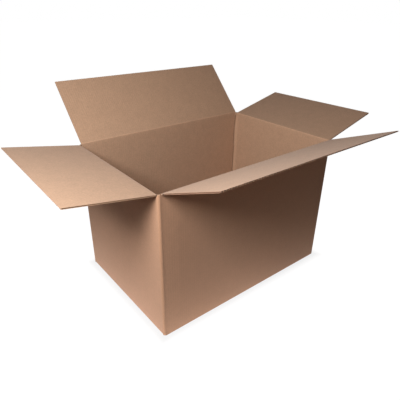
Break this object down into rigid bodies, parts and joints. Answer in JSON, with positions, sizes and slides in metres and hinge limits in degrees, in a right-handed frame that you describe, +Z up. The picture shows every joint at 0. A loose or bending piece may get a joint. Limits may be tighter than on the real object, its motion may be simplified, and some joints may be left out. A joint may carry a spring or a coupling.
{
  "type": "open cardboard box",
  "caption": "Open shipping carton of brown corrugated board, with hinged top flaps folded out, a glued corner and a closed bottom, for packing goods.",
  "frame": {"origin": "on the ground, under the middle of the box", "axes": "+X along the long walls, +Y from the front wall to the back wall, +Z up out of the open top"},
  "size_m": [0.9844, 0.7204, 0.544],
  "materials": {
    "kraft_board": "matte",
    "kraft_paper": "matte"
  },
  "bodies": {
    "carton": {"carton": "kraft_board"},
    "front_flap": {"front_flap": "kraft_paper"},
    "back_flap": {"back_flap": "kraft_paper"},
    "left_flap": {"left_flap": "kraft_paper"},
    "right_flap": {"right_flap": "kraft_paper"}
  },
  "joints": [
    {"name": "front_flap_crease", "type": "hinge", "parent": "carton", "child": "front_flap", "pos_m": [0, -0.2, 0.396], "axis": [1, 0, 0], "range_deg": [-157.5, 102.5]},
    {"name": "back_flap_crease", "type": "hinge", "parent": "carton", "child": "back_flap", "pos_m": [0, 0.2, 0.396], "axis": [-1, 0, 0], "range_deg": [-133, 127]},
    {"name": "left_flap_crease", "type": "hinge", "parent": "carton", "child": "left_flap", "pos_m": [-0.297, 0, 0.3927], "axis": [0, -1, 0], "range_deg": [-170.5, 89.5]},
    {"name": "right_flap_crease", "type": "hinge", "parent": "carton", "child": "right_flap", "pos_m": [0.297, 0, 0.3927], "axis": [0, 1, 0], "range_deg": [-166, 94]}
  ]
}
